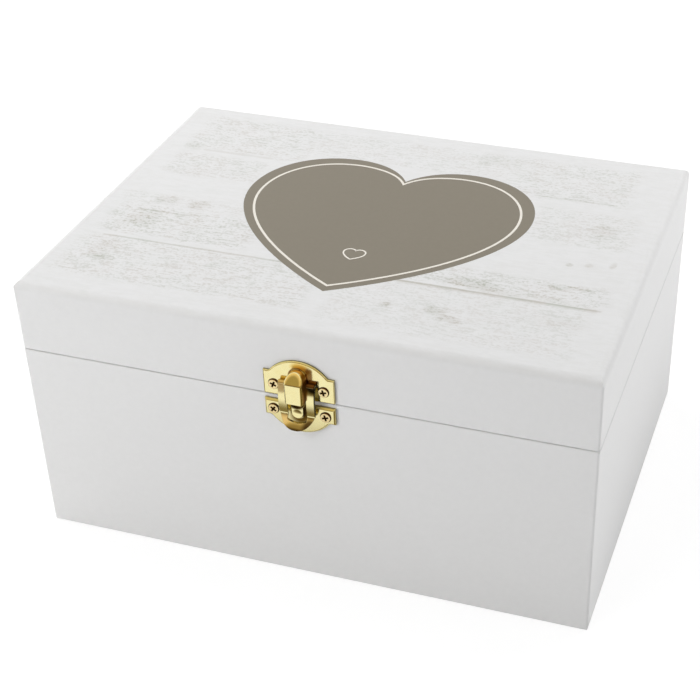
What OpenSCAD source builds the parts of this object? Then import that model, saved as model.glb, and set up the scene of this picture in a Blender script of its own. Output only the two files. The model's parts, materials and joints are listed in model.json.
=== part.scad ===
// Keepsake box with a hinged lid: glued panels under white paint, two brass
// stop hinges at the back and a brass swing catch at the front.
// The origin is the centre of the underside; +X is the box's right, the catch
// faces -Y, and +Z is up.

/* [Box] */
// Outside width, left to right
box_w = 290; // [200:1:400]
// Outside depth, front to back, without the brass
box_d = 214; // [150:1:300]
// Outside height with the lid shut
box_h = 146; // [110:1:220]
// Height of the lid, from the seam to its top
lid_h = 38; // [30:1:60]
// Thickness of the walls and of the lid's rails
wall_t = 9; // [7:0.5:14]
// Thickness of the lid's top panel
top_t = 9; // [6:0.5:12]
// Thickness of the bottom panel
bottom_t = 5; // [3:0.5:9]
// Depth of the rebate in the walls that takes the bottom panel
rebate_d = 4.5; // [2:0.5:6]
// Clearance round the bottom panel in its rebate
panel_fit = 0.1; // [0.05:0.05:0.5]
// Gap between the lid and the base when shut
seam_gap = 0.4; // [0.3:0.1:0.8]

/* [Edges] */
// Rounding of the lid's top edges
top_edge_r = 4.2; // [1.5:0.1:5.5]
// Rounding of the upright edges
side_edge_r = 1.2; // [0.5:0.1:3]
// Rounding of the sharp edges, at the seam and underneath
arris_r = 0.6; // [0.2:0.1:1.2]

/* [Catch plates] */
// How far the catch sits to the right of the box's middle
catch_shift = 1.8; // [-20:0.1:20]
// Gap between the lid's plate and the seam
lid_plate_gap = 0.9; // [0.5:0.1:1.5]
// Gap between the base's plate and the seam
base_plate_gap = 1.7; // [0.5:0.1:2]
// Metal on the ears, outside the screws' heads
ear_side = 2.45; // [1:0.05:4]
// Metal on the lid's ears, above the screws' heads
lid_ear_end = 4.2; // [1:0.1:5]
// Metal on the base's ears, below the screws' heads
base_ear_end = 1.4; // [1:0.1:4]
// How much larger the plates' round edge is than half their width
arc_over = 0.35; // [0:0.05:1.5]
// Radius of the corner between each ear and the round edge
ear_fillet = 2.2; // [1:0.1:3]
// Height of the lid's plate above its hood
lid_plate_over = 3.9; // [1:0.1:5]
// Height of the base's plate below its nose
base_plate_under = 9.6; // [7:0.1:11]
// Thickness of the lid's plate
lid_plate_t = 1.5; // [1.2:0.1:1.8]
// Bevel round the lid's plate
lid_plate_bevel = 0.5; // [0.2:0.1:0.9]
// Thickness of the base's plate
base_plate_t = 2; // [1.6:0.1:2.2]
// Bevel round the base's plate
base_plate_bevel = 0.9; // [0.3:0.1:1.2]

/* [Catch hood] */
// How far the hood stands out from the lid
hood_out = 8.9; // [8:0.1:11]
// Width of the hood
hood_w = 9; // [8:0.1:10]
// Bevel of the hood's long front edges
hood_bevel = 0.75; // [0.3:0.05:1]
// Bottom of the hood, above the seam
hood_low = 2.1; // [1.8:0.1:3]
// Height of the hood's flat face, below its slope
hood_face_h = 10.9; // [10:0.1:12]
// Round top of the hood, above the seam
hood_top = 17.6; // [17:0.1:18.5]

/* [Catch nose] */
// How far the nose stands out from the base
nose_out = 4.9; // [4:0.1:5.6]
// Width of the nose
nose_w = 7.2; // [6:0.1:7.6]
// Bevel round the nose's face
nose_bevel = 0.8; // [0.5:0.1:1.2]
// Top of the nose's horns, below the seam
nose_high = 1.2; // [1:0.1:2]
// Bottom of the nose, below the seam
nose_low = 8.8; // [8:0.1:9.2]
// Depth of the hollow between the horns
horn_depth = 1.3; // [0.6:0.1:2]
// Width of the round dish in the nose's face
dish_d = 5; // [3:0.1:5.2]
// Depth of that dish
dish_depth = 0.25; // [0.2:0.05:0.8]

/* [Hasp] */
// Width of each side band
hasp_band = 4.4; // [3.5:0.1:6]
// Gap between the bands and the hood
hasp_side = 0.3; // [0.2:0.05:0.6]
// Thickness of the hasp's metal
hasp_t = 0.9; // [0.7:0.05:1]
// How far the window reaches below the nose
window_under = 0.6; // [0:0.1:1]
// Height of the bar and its finger lip, below the window
bar_h = 3.2; // [2:0.1:4]
// Gap between the nose's face and the bar that passes in front of it
bar_gap = 0.4; // [0.3:0.05:1]
// How far above the window's bottom the hasp starts to flare out
flare_up = 3.8; // [3:0.1:5]
// How far past the lip's end its curve would still turn back
flare_over = 1.2; // [0:0.1:1.6]
// Radius of the window's bottom edge
window_r = 14; // [12:1:30]
// Distance of the pin above the seam
pin_up = 10; // [9.5:0.1:11]
// Diameter of the hasp's pin
hasp_pin_d = 1.2; // [1:0.05:1.3]
// Metal round the pin in the hasp's eyes
eye_wall = 0.7; // [0.5:0.05:0.8]
// Rise of the arch over the seam
arch_rise = 1.5; // [0.6:0.05:1.6]
// Length of the arch below its top
arch_fall = 12.5; // [9:0.5:14]
// Clearance of the hasp's pin in its eyes
pin_play = 0.05; // [0.02:0.01:0.1]
// Clearance of the same pin in the hood that holds it
hood_fit = 0.02; // [0.01:0.01:0.04]
// Gap between the hasp's eyes and the plate behind them
hasp_clear = 0.3; // [0.2:0.05:0.5]

/* [Catch screws] */
// Gap between the hasp and the heads of the lid's screws
lid_head_gap = 0.4; // [0.3:0.1:1]
// Gap between the hasp and the heads of the base's screws
base_head_gap = 1; // [0.4:0.1:1.5]
// Height of the lid's screws above the seam
lid_screw_up = 7.1; // [6:0.1:9]
// Depth of the base's screws below the seam
base_screw_down = 6.7; // [6:0.1:7.5]
// Diameter of the screws' heads
screw_head_d = 5.8; // [5:0.1:6.2]
// Height of the screws' heads
head_h = 0.85; // [0.6:0.05:1.2]
// How much narrower a head is at its top, all round
head_taper = 0.4; // [0.1:0.05:0.6]
// Diameter of the screws' shanks
screw_d = 2.6; // [2:0.1:3]
// Room round the screws in the plates and the leaves
head_room = 0.3; // [0.1:0.05:0.4]
// Clearance of every screw in its pilot hole
pilot_fit = 0.05; // [0.02:0.01:0.2]
// Wood left behind the tips of the catch's screws
screw_cover = 1.5; // [1:0.1:3]

/* [Hinges] */
// Distance from each end of the box to the middle of its hinge
hinge_inset = 55; // [35:1:80]
// Length of each hinge
hinge_len = 30; // [24:1:40]
// Thickness of the hinge's leaves
leaf_t = 1; // [0.8:0.1:1.4]
// Wood left on the rim in front of a leaf
leaf_rim = 1.5; // [1:0.1:2.5]
// Clearance round a leaf in its mortise
leaf_fit = 0.1; // [0.05:0.05:0.3]
// Outside diameter of the knuckles
knuckle_d = 3.2; // [2.8:0.1:3.4]
// Diameter of the hinge pins
hinge_pin_d = 1.6; // [1.2:0.1:1.8]
// Number of knuckles, an odd number
knuckle_n = 5; // [3:2:7]
// Gap between neighbouring knuckles
knuckle_gap = 0.3; // [0.2:0.05:0.5]
// Gap between the knuckles and the box's back
back_gap = 0.2; // [0.1:0.05:0.6]
// How far the stop heels reach behind the knuckles
heel_over = 0.3; // [0.1:0.1:1]
// Height of each heel, from the axis
heel_h = 4.4; // [3.6:0.1:6]
// Angle at which the heels stop the lid
lid_open = 95; // [90:1:100]
// Angle kept free between the heels at the stop
stop_free = 1; // [0.5:0.5:2]
// Running clearance of the knuckles
run_fit = 0.05; // [0.02:0.01:0.1]
// Length of the hinges' screws
hinge_screw_len = 12; // [8:0.5:16]
// Diameter of the hinges' screws
hinge_screw_d = 2.2; // [1.8:0.1:2.6]
// Distance of these screws from the ends of their hinge
hinge_screw_end = 6; // [4:0.5:8]

/* [Hidden] */

paint = [0.93, 0.93, 0.92];
brass = [0.86, 0.72, 0.38];
$fn = 64;
cut = 1;   // how far cutting tools run past a face

seam_z = box_h - lid_h;
base_top = seam_z - seam_gap / 2;
lid_low = seam_z + seam_gap / 2;
rail_top = box_h - top_t;
inside_w = box_w - 2 * wall_t;
inside_d = box_d - 2 * wall_t;

// the catch is drawn with x across, y up from the seam and z out of the box
window_w = max(hood_w, nose_w) + 2 * hasp_side;
hasp_w = window_w + 2 * hasp_band;
screw_r = screw_d / 2;
head_r = screw_head_d / 2;
lid_screw_x = hasp_w / 2 + lid_head_gap + head_r;
base_screw_x = hasp_w / 2 + base_head_gap + head_r;
plate_w = 2 * (lid_screw_x + head_r + ear_side);
plate_arc_r = plate_w / 2 + arc_over;
lid_plate_h = hood_top + lid_plate_over;
base_plate_h = nose_low + base_plate_under;
lid_ear_h = lid_screw_up + head_r + lid_ear_end;
base_ear_h = base_screw_down + head_r + base_ear_end;
screw_depth = wall_t - screw_cover;
recess_l = 1.1;       // length of a cross recess, as a share of its head's radius
recess_w = 0.29;      // its width, likewise
recess_depth = 0.8;   // its depth, as a share of its head's height
lid_screw_turns = [66, 13];
base_screw_turns = [54, 15];
eye_r = hasp_pin_d / 2 + eye_wall;
pin_out = lid_plate_t + hasp_clear + eye_r;
pin_short = 0.2;   // the pin's ends stay this far inside the hasp's sides
slice = 0.01;      // thickness of a slice that a hull joins
corner_bite = 0.03;
bury = 0.2;        // how far a casting's raised part starts below its plate's face

// the hasp's middle surface, as its distance from the box at each height: an arch
// over the seam, then a flare that takes the bar past the nose and ends in the lip
window_low = nose_low + window_under;
hasp_low = window_low + bar_h;
arch_mid = 2;        // height of the arch's top above the seam
arch_climb = pin_up - arch_mid;
arch_foot = 0.2;     // how far the arch's feet stand in front of the pin
flare_top = flare_up - window_low;
flare_len = flare_top + hasp_low + flare_over;
hasp_steps = 48;
function flare_part(y) = min(1, max(0, (flare_top - y) / flare_len));
function flare_share(y) = (1 - cos(180 * flare_part(y))) / 2;
function arch_angle(y) = 90 * (y - arch_mid) / (y > arch_mid ? arch_climb : arch_fall);
function arch_out(y) = pin_out + arch_foot + arch_rise * cos(arch_angle(y));
lip_flare = (nose_out + bar_gap + hasp_t - arch_out(-window_low)) / flare_share(-window_low);
function hasp_out(y) = arch_out(y) + lip_flare * flare_share(y);
function hasp_slope(y) = (hasp_out(y + slice) - hasp_out(y - slice)) / (2 * slice);
function hasp_side(y, side) =
    let (long = sqrt(1 + pow(hasp_slope(y), 2)), half = side * hasp_t / 2)
    [y - half * hasp_slope(y) / long, hasp_out(y) + half / long];

// the hinges are drawn round their axis, with x along it, y to the back and z up
knuckle_r = knuckle_d / 2;
axis_out = knuckle_r + back_gap;
heel_reach = knuckle_r + heel_over;
axis_y = box_d / 2 + axis_out;
hinge_x = box_w / 2 - hinge_inset;
leaf_w = wall_t - leaf_rim;
hinge_pin_r = hinge_pin_d / 2;
knuckle_l = hinge_len / knuckle_n;
heel_angle = (lid_open + stop_free) / 2;
hinge_screw_x = hinge_len / 2 - hinge_screw_end;
hinge_screw_y = -axis_out - leaf_w / 2;
hinge_screw_r = hinge_screw_d / 2;
hinge_screw_turn = 40;
hinge_head_r = hinge_screw_r + leaf_t - head_room;

// a flat rectangle with round corners
module plan_outline(w, d, r) {
    square([w - 2 * r, d], center = true);
    square([w, d - 2 * r], center = true);
    for (x = [-1, 1], y = [-1, 1])
        translate([x * (w / 2 - r), y * (d / 2 - r)]) circle(r);
}

// the side view of a block from z0 to z1, rounded below and above
module edge_profile(w, z0, z1, low_r, high_r) {
    translate([-w / 2, z0 + low_r]) square([w, z1 - z0 - low_r - high_r]);
    translate([-w / 2 + low_r, z0]) square([w - 2 * low_r, 2 * low_r]);
    translate([-w / 2 + high_r, z1 - 2 * high_r]) square([w - 2 * high_r, 2 * high_r]);
    for (x = [-1, 1]) {
        translate([x * (w / 2 - low_r), z0 + low_r]) circle(low_r);
        translate([x * (w / 2 - high_r), z1 - high_r]) circle(high_r);
    }
}

// the whole painted block that the panels of the base or the lid make up
module painted_block(z0, z1, low_r, high_r) {
    intersection() {
        translate([0, 0, z0]) linear_extrude(z1 - z0) plan_outline(box_w, box_d, side_edge_r);
        rotate([90, 0, 0]) linear_extrude(box_d + cut, center = true)
            edge_profile(box_w, z0, z1, low_r, high_r);
        rotate([90, 0, 90]) linear_extrude(box_w + cut, center = true)
            edge_profile(box_d, z0, z1, low_r, high_r);
    }
}

module base_block() { painted_block(0, base_top, arris_r, arris_r); }
module lid_block() { painted_block(lid_low, box_h, arris_r, top_edge_r); }

// the space of a front wall; the others are this one turned or mirrored
module front_space(z0, z1) {
    translate([-box_w / 2 - cut, -box_d / 2 - cut, z0])
        cube([box_w + 2 * cut, wall_t + cut, z1 - z0]);
}

module right_space(z0, z1) {
    translate([box_w / 2 - wall_t, -inside_d / 2, z0]) cube([wall_t + cut, inside_d, z1 - z0]);
}

// the rebate round the bottom of the four walls
module bottom_rebate() {
    translate([0, 0, bottom_t / 2 - cut / 2])
        cube([inside_w + 2 * rebate_d, inside_d + 2 * rebate_d, bottom_t + cut], center = true);
}

// moves the catch's drawing to the front of the box
module at_catch() { translate([catch_shift, -box_d / 2, seam_z]) rotate([90, 0, 0]) children(); }

// the pilot holes behind a plate
module catch_pilots(far, y) {
    for (x = [-far, far]) translate([x, y, -screw_depth])
        cylinder(r = screw_r + pilot_fit, h = screw_depth + cut);
}

// draws below the seam what is drawn above it
module from_seam(up) {
    if (up) children();
    else mirror([0, 0, 1]) children();
}

// cuts in the rim of a back wall, for both hinges: the leaves' mortises and the screws' holes
module hinge_cuts(up) {
    for (side = [-1, 1]) at_hinge(side) from_seam(up) {
        translate([-hinge_len / 2 - leaf_fit, -axis_out - leaf_w - leaf_fit, -cut])
            cube([hinge_len + 2 * leaf_fit, leaf_w + leaf_fit + cut, cut + seam_gap / 2 + leaf_t]);
        for (x = [-hinge_screw_x, hinge_screw_x]) translate([x, hinge_screw_y, 0])
            cylinder(r = hinge_screw_r + pilot_fit, h = seam_gap / 2 + hinge_screw_len + pilot_fit);
    }
}

module base_front_panel() {
    color(paint) difference() {
        intersection() { base_block(); front_space(0, base_top); }
        bottom_rebate();
        at_catch() catch_pilots(base_screw_x, -base_screw_down);
    }
}

module base_back_panel() {
    color(paint) difference() {
        intersection() { base_block(); mirror([0, 1, 0]) front_space(0, base_top); }
        bottom_rebate();
        hinge_cuts(false);
    }
}

module base_right_panel() {
    color(paint) difference() {
        intersection() { base_block(); right_space(0, base_top); }
        bottom_rebate();
    }
}

module base_left_panel() { mirror([1, 0, 0]) base_right_panel(); }

module base_bottom_panel() {
    color(paint) translate([0, 0, bottom_t / 2])
        cube([inside_w + 2 * (rebate_d - panel_fit), inside_d + 2 * (rebate_d - panel_fit), bottom_t],
             center = true);
}

module lid_top_panel() {
    color(paint) intersection() {
        lid_block();
        translate([0, 0, rail_top + top_t / 2])
            cube([box_w + cut, box_d + cut, top_t], center = true);
    }
}

module lid_front_rail() {
    color(paint) difference() {
        intersection() { lid_block(); front_space(lid_low, rail_top); }
        at_catch() catch_pilots(lid_screw_x, lid_screw_up);
    }
}

module lid_back_rail() {
    color(paint) difference() {
        intersection() { lid_block(); mirror([0, 1, 0]) front_space(lid_low, rail_top); }
        hinge_cuts(true);
    }
}

module lid_right_rail() {
    color(paint) intersection() { lid_block(); right_space(lid_low, rail_top); }
}

module lid_left_rail() { mirror([1, 0, 0]) lid_right_rail(); }

// a slab of thickness t from y0 to y1 and w wide, bevelled on all four sides
module bevelled_slab(w, y0, y1, t, bevel) {
    flat = t - bevel;
    profile = function (a, b) [[a, 0], [b, 0], [b, flat], [b - bevel, t], [a + bevel, t], [a, flat]];
    intersection() {
        translate([0, y1, 0]) rotate([90, 0, 0]) linear_extrude(y1 - y0)
            polygon(profile(-w / 2, w / 2));
        translate([-w / 2, 0, 0]) rotate([90, 0, 90]) linear_extrude(w) polygon(profile(y0, y1));
    }
}

// a disc of thickness t, bevelled round its front
module bevelled_disc(r, t, bevel) {
    cylinder(r = r, h = t - bevel);
    translate([0, 0, t - bevel]) cylinder(r1 = r, r2 = r - bevel, h = bevel);
}

// fills the corner between the right ear's top and the plate's round edge; the round
// tool that hollows it crosses both of them by corner_bite
module ear_corner(top, ear_top, t, bevel) {
    round_y = top - plate_arc_r;
    reach = plate_arc_r + ear_fillet - corner_bite;
    high = ear_top + ear_fillet - corner_bite;
    far = sqrt(pow(reach, 2) - pow(high - round_y, 2));
    share = (plate_arc_r - cut) / reach;
    inner = [far * share, round_y + (high - round_y) * share];
    difference() {
        linear_extrude(t) polygon([[far, ear_top - cut], [far, high], inner, [inner[0], ear_top - cut]]);
        translate([far, high, t - bevel]) {
            translate([0, 0, -t - cut]) cylinder(r = ear_fillet, h = 2 * (t + cut));
            cylinder(r1 = ear_fillet, r2 = ear_fillet + bevel + cut, h = bevel + cut);
        }
    }
}

// a plate above the seam: a disc with ears, cut straight along the seam
module catch_plate(low, top, ear_top, t, bevel) {
    intersection() {
        bevelled_slab(plate_w, low, top + cut, t, bevel);
        union() {
            translate([0, top - plate_arc_r, 0]) bevelled_disc(plate_arc_r, t, bevel);
            bevelled_slab(plate_w, low, ear_top, t, bevel);
            ear_corner(top, ear_top, t, bevel);
            mirror([1, 0, 0]) ear_corner(top, ear_top, t, bevel);
        }
    }
}

// the screws' holes in a plate of thickness t
module plate_holes(far, y, t) {
    for (x = [-far, far]) translate([x, y, -cut]) cylinder(r = screw_r + head_room, h = t + 2 * cut);
}

// the hood seen from the front: straight sides and a round top
module hood_outline() {
    half = hood_w / 2;
    translate([0, hood_top - half]) circle(half);
    translate([-half, hood_low]) square([hood_w, hood_top - half - hood_low]);
}

// the hood seen from its side: upright in front, then a slope of 45 degrees
module hood_profile() {
    slope_low = hood_low + hood_face_h;
    high = hood_top + cut;
    polygon([[hood_low, 0], [high, 0], [high, hood_out - (high - slope_low)],
             [slope_low, hood_out], [hood_low, hood_out]]);
}

// the hood seen from below: a wide block whose bevels take off the front corners
module hood_section() {
    face_half = hood_w / 2 - hood_bevel;
    wide = face_half + 2 * hood_bevel;
    low = hood_out - 2 * hood_bevel;
    polygon([[-wide, 0], [wide, 0], [wide, low],
             [face_half, hood_out], [-face_half, hood_out], [-wide, low]]);
}

module catch_hood() {
    intersection() {
        translate([0, 0, lid_plate_t - bury]) linear_extrude(hood_out) hood_outline();
        translate([-hood_w, 0, 0]) rotate([90, 0, 90]) linear_extrude(2 * hood_w) hood_profile();
        translate([0, hood_top + cut, 0]) rotate([90, 0, 0]) linear_extrude(hood_top + cut) hood_section();
    }
}

module catch_lid_plate() {
    color(brass) at_catch() difference() {
        union() {
            catch_plate(lid_plate_gap, lid_plate_h, lid_ear_h, lid_plate_t, lid_plate_bevel);
            catch_hood();
        }
        plate_holes(lid_screw_x, lid_screw_up, lid_plate_t);
        translate([0, pin_up, pin_out]) rotate([0, 90, 0])
            cylinder(r = hasp_pin_d / 2 + hood_fit, h = hasp_w, center = true);
    }
}

// the nose without its hollows: straight sides, a round bottom and a bevelled face
module nose_block() {
    half = nose_w / 2;
    face_half = half - nose_bevel;
    shoulder = nose_out - nose_bevel;
    straight = nose_low - half - nose_high;
    translate([0, half - nose_low, 0]) {
        cylinder(r = half, h = shoulder);
        translate([0, 0, shoulder]) cylinder(r1 = half, r2 = face_half, h = nose_bevel);
        translate([0, straight, 0]) rotate([90, 0, 0]) linear_extrude(straight)
            polygon([[-half, 0], [half, 0], [half, shoulder], [face_half, nose_out],
                     [-face_half, nose_out], [-half, shoulder]]);
    }
}

// the nose: hollow between its horns, with a round dish in its face
module catch_nose() {
    face_w = nose_w - 2 * nose_bevel;
    dish_r = (pow(dish_d / 2, 2) + pow(dish_depth, 2)) / (2 * dish_depth);
    horn_r = (pow(face_w / 2, 2) + pow(horn_depth, 2)) / (2 * horn_depth);
    difference() {
        nose_block();
        translate([0, horn_r - nose_high - horn_depth, base_plate_t])
            cylinder(r = horn_r, h = nose_out);
        translate([0, nose_w / 2 - nose_low, nose_out + dish_r - dish_depth]) sphere(dish_r);
    }
}

module catch_base_plate() {
    color(brass) at_catch() difference() {
        union() {
            mirror([0, 1, 0])
                catch_plate(base_plate_gap, base_plate_h, base_ear_h, base_plate_t, base_plate_bevel);
            catch_nose();
        }
        plate_holes(base_screw_x, -base_screw_down, base_plate_t);
    }
}

// the hasp's side view: a sheet that arches over the seam and flares into a lip
module hasp_profile() {
    long = pin_up + hasp_low + cut;
    ys = [for (i = [0 : hasp_steps]) pin_up - i * long / hasp_steps];
    polygon(concat([for (y = ys) hasp_side(y, 1)],
                   [for (i = [hasp_steps : -1 : 0]) hasp_side(ys[i], -1)]));
    translate([pin_up, pin_out]) circle(eye_r);
}

// the hasp seen from the front: two bands joined below by a round lip
module hasp_outline() {
    half = hasp_w / 2;
    high = pin_up + hasp_w;
    difference() {
        translate([0, half - hasp_low]) {
            circle(half);
            translate([-half, 0]) square([hasp_w, high]);
        }
        intersection() {
            translate([-window_w / 2, -window_low]) square([window_w, high]);
            translate([0, window_r - window_low]) {
                circle(window_r);
                translate([-window_r, 0]) square([2 * window_r, high]);
            }
        }
    }
}

module catch_hasp() {
    color(brass) at_catch() difference() {
        intersection() {
            translate([-hasp_w / 2, 0, 0]) rotate([90, 0, 90]) linear_extrude(hasp_w) hasp_profile();
            linear_extrude(hood_out * 2) hasp_outline();
        }
        translate([0, pin_up, pin_out]) rotate([0, 90, 0])
            cylinder(r = hasp_pin_d / 2 + pin_play, h = hasp_w + cut, center = true);
    }
}

module catch_hasp_pin() {
    color(brass) at_catch() translate([0, pin_up, pin_out]) rotate([0, 90, 0])
        cylinder(d = hasp_pin_d, h = hasp_w - 2 * pin_short, center = true);
}

// a screw's shank with its point, of radius r, from z = 0 down
module screw_shank(r, length) {
    point_h = 2 * r;
    translate([0, 0, point_h - length]) cylinder(r = r, h = length - point_h);
    translate([0, 0, -length]) cylinder(r1 = r / 4, r2 = r, h = point_h);
}

// cuts a cross into a head of radius r whose top is at z = 0
module cross_recess(r, high, turn) {
    for (a = [turn, turn + 90]) rotate([0, 0, a])
        cube([recess_l * r, recess_w * r, 2 * recess_depth * high], center = true);
}

// one screw with a raised head that sits on z = 0
module raised_screw(length, turn) {
    difference() {
        union() {
            cylinder(r1 = head_r, r2 = head_r - head_taper, h = head_h);
            screw_shank(screw_r, length);
        }
        translate([0, 0, head_h]) cross_recess(head_r, head_h, turn);
    }
}

// one countersunk screw; its head's top is at z = 0
module flush_screw(r, top_r, length, turn) {
    cone_h = top_r - r;
    difference() {
        union() {
            translate([0, 0, -cone_h]) cylinder(r1 = r, r2 = top_r, h = cone_h);
            translate([0, 0, -cone_h]) screw_shank(r, length - cone_h);
        }
        cross_recess(top_r, cone_h, turn);
    }
}

module catch_screws(far, y, t, turns) {
    for (i = [0, 1]) translate([(2 * i - 1) * far, y, t])
        raised_screw(t + screw_depth - pilot_fit, turns[i]);
}

module catch_lid_screws() {
    color(brass) at_catch() catch_screws(lid_screw_x, lid_screw_up, lid_plate_t, lid_screw_turns);
}

module catch_base_screws() {
    color(brass) at_catch() catch_screws(base_screw_x, -base_screw_down, base_plate_t, base_screw_turns);
}

// moves a hinge's drawing to the back of the box
module at_hinge(side) { translate([side * hinge_x, axis_y, seam_z]) children(); }

// the side view of the base's leaf, with its heel behind the box
module leaf_profile() {
    rim = -seam_gap / 2;
    polygon([
        [-axis_out - leaf_w, rim], [-axis_out - leaf_w, rim - leaf_t], [-axis_out, rim - leaf_t],
        [-axis_out, -heel_h], [heel_reach, -heel_h], [heel_reach, -heel_reach * tan(heel_angle)],
        [0, 0], [0, rim]
    ]);
}

// a leaf below the seam, with knuckles in the odd or the even places
module hinge_leaf(first) {
    own = [for (i = [first : 2 : knuckle_n - 1]) i];
    other = [for (i = [1 - first : 2 : knuckle_n - 1]) i];
    difference() {
        union() {
            translate([-hinge_len / 2, 0, 0]) rotate([90, 0, 90]) linear_extrude(hinge_len) leaf_profile();
            for (i = own) knuckle(i, knuckle_r, 0);
        }
        for (i = other) knuckle(i, knuckle_r + knuckle_gap / 2, knuckle_gap);
        rotate([0, 90, 0]) cylinder(r = hinge_pin_r + run_fit, h = hinge_len + cut, center = true);
        for (x = [-hinge_screw_x, hinge_screw_x]) translate([x, hinge_screw_y, -seam_gap / 2])
            leaf_hole();
    }
}

module knuckle(i, r, longer) {
    translate([(i + 0.5) * knuckle_l - hinge_len / 2, 0, 0]) rotate([0, 90, 0])
        cylinder(r = r, h = knuckle_l + longer, center = true);
}

module leaf_hole() {
    translate([0, 0, -leaf_t - cut]) cylinder(r = hinge_screw_r + pilot_fit, h = leaf_t + 2 * cut);
    translate([0, 0, -leaf_t])
        cylinder(r1 = hinge_screw_r + pilot_fit, r2 = hinge_head_r + head_room, h = leaf_t);
}

// a hinge screw below the rim; its head is flush with the leaf
module hinge_screws(up) {
    from_seam(up) mirror([0, 0, 1]) for (x = [-hinge_screw_x, hinge_screw_x])
        translate([x, hinge_screw_y, -seam_gap / 2])
            flush_screw(hinge_screw_r, hinge_head_r, hinge_screw_len, hinge_screw_turn + x);
}

module base_leaf() { hinge_leaf(0); }
module lid_leaf() { mirror([0, 0, 1]) hinge_leaf(1); }
module hinge_pin() { rotate([0, 90, 0]) cylinder(r = hinge_pin_r, h = hinge_len, center = true); }

module left_hinge_base_leaf() { color(brass) at_hinge(-1) base_leaf(); }
module left_hinge_lid_leaf() { color(brass) at_hinge(-1) lid_leaf(); }
module left_hinge_pin() { color(brass) at_hinge(-1) hinge_pin(); }
module left_hinge_base_screws() { color(brass) at_hinge(-1) hinge_screws(false); }
module left_hinge_lid_screws() { color(brass) at_hinge(-1) hinge_screws(true); }
module right_hinge_base_leaf() { color(brass) at_hinge(1) base_leaf(); }
module right_hinge_lid_leaf() { color(brass) at_hinge(1) lid_leaf(); }
module right_hinge_pin() { color(brass) at_hinge(1) hinge_pin(); }
module right_hinge_base_screws() { color(brass) at_hinge(1) hinge_screws(false); }
module right_hinge_lid_screws() { color(brass) at_hinge(1) hinge_screws(true); }

base_front_panel();
base_back_panel();
base_left_panel();
base_right_panel();
base_bottom_panel();
lid_top_panel();
lid_front_rail();
lid_back_rail();
lid_left_rail();
lid_right_rail();
catch_lid_plate();
catch_base_plate();
catch_hasp();
catch_hasp_pin();
catch_lid_screws();
catch_base_screws();
left_hinge_base_leaf();
left_hinge_lid_leaf();
left_hinge_pin();
left_hinge_base_screws();
left_hinge_lid_screws();
right_hinge_base_leaf();
right_hinge_lid_leaf();
right_hinge_pin();
right_hinge_base_screws();
right_hinge_lid_screws();
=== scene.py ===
# Keepsake box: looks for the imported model, drawn in metres in the model's own frame.
# The underside's centre is the origin, +X is right, the catch faces -Y and +Z is up.
import json

import bmesh
import bpy
import numpy as np
from mathutils import Matrix, Vector


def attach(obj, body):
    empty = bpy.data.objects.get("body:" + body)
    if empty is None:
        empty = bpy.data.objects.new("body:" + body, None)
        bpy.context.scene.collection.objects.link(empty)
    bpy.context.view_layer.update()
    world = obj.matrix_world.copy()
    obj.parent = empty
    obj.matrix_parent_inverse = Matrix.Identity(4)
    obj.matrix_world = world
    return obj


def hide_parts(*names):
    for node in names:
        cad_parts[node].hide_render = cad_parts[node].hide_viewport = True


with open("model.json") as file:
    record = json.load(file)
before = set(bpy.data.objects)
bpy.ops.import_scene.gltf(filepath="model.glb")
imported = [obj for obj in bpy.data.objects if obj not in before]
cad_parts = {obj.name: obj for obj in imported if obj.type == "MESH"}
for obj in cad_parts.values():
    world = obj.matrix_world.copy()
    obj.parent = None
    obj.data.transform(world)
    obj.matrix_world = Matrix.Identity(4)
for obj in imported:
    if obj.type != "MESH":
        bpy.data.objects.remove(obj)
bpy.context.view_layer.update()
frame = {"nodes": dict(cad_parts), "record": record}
nodes = frame["nodes"]
mm = 0.001

# places on the box that more than one piece or material needs
catchPlace = (1.8, -107.0, 108.0)   # mm: the catch's middle, on the box's front at the seam
lidTop = 0.146                      # metres
lidBack = 0.107


# Small helpers
def linearColour(hexText):
    # sRGB to linear light: c / 12.92 in the darkest part, ((c + 0.055) / 1.055) to the power 2.4 above it
    c = np.array([int(hexText[i:i + 2], 16) / 255 for i in (1, 3, 5)])
    linear = np.where(c <= 0.04045, c / 12.92, ((c + 0.055) / 1.055) ** 2.4)
    return (*(float(v) for v in linear), 1.0)


def addNode(tree, kind, inputs=None, **settings):
    # an input takes a plain value, another node's output, or a node, whose first live output is
    # linked; settings are the node's own choices
    node = tree.nodes.new(kind)
    for name, value in settings.items():
        setattr(node, name, value)
    for name, value in (inputs or {}).items():
        if isinstance(value, bpy.types.Node):
            value = next(output for output in value.outputs if output.enabled)
        if isinstance(value, bpy.types.NodeSocket):
            tree.links.new(value, node.inputs[name])
        else:
            node.inputs[name].default_value = value
    return node


def combine(tree, operation, levels):
    # folds a list of grey levels into one by the given operation
    total = levels[0]
    for level in levels[1:]:
        total = addNode(tree, "ShaderNodeMath", {0: total, 1: level}, operation=operation)
    return total


def softMask(tree, *parts):
    # the product of its parts: masks, plain shares, and edges written (value, low, high), which
    # go smoothly from 0 at low to 1 at high
    levels = []
    for part in parts:
        if isinstance(part, tuple):
            value, low, high = part
            part = addNode(tree, "ShaderNodeMapRange", {0: value, 1: low, 2: high},
                           interpolation_type="SMOOTHSTEP")
        levels.append(part)
    return combine(tree, "MULTIPLY", levels)


spotCore = 0.35   # the share of a soft spot's radius that is whole


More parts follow.
